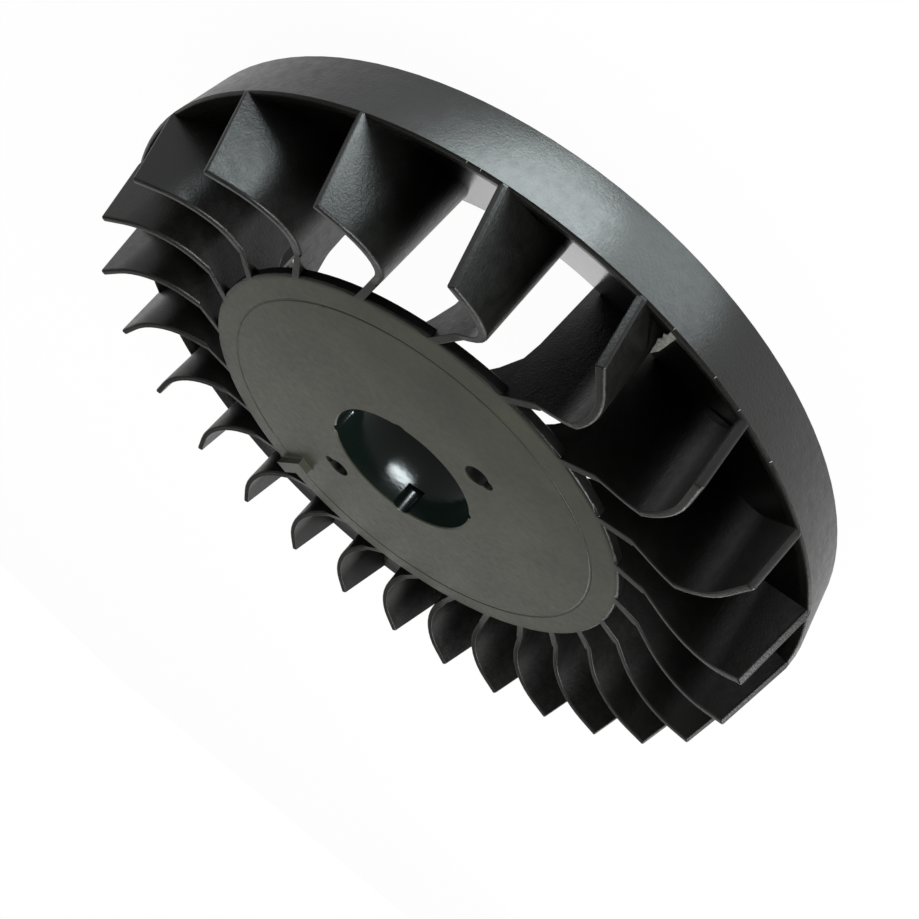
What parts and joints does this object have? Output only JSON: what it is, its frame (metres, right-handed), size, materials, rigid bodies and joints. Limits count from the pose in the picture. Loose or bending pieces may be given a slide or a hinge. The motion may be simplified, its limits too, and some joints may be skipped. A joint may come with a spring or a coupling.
{
  "type": "flywheel fan",
  "caption": "One-piece moulded fan: flat hub disc with centre bore, curved blades past its rim, and a conical shroud with an outer band.",
  "frame": {"origin": "centre of the two bolt holes' circle, on the bore's axis, at the hub disc's flat front face", "axes": "+Z along the bore axis, out of the disc's front face, towards the blades' corners"},
  "size_m": [0.2486, 0.2486, 0.0548],
  "materials": {
    "flywheel_fan": "satin, lightly grained"
  },
  "bodies": {
    "root": {"flywheel_fan": "flywheel_fan"}
  },
  "joints": []
}
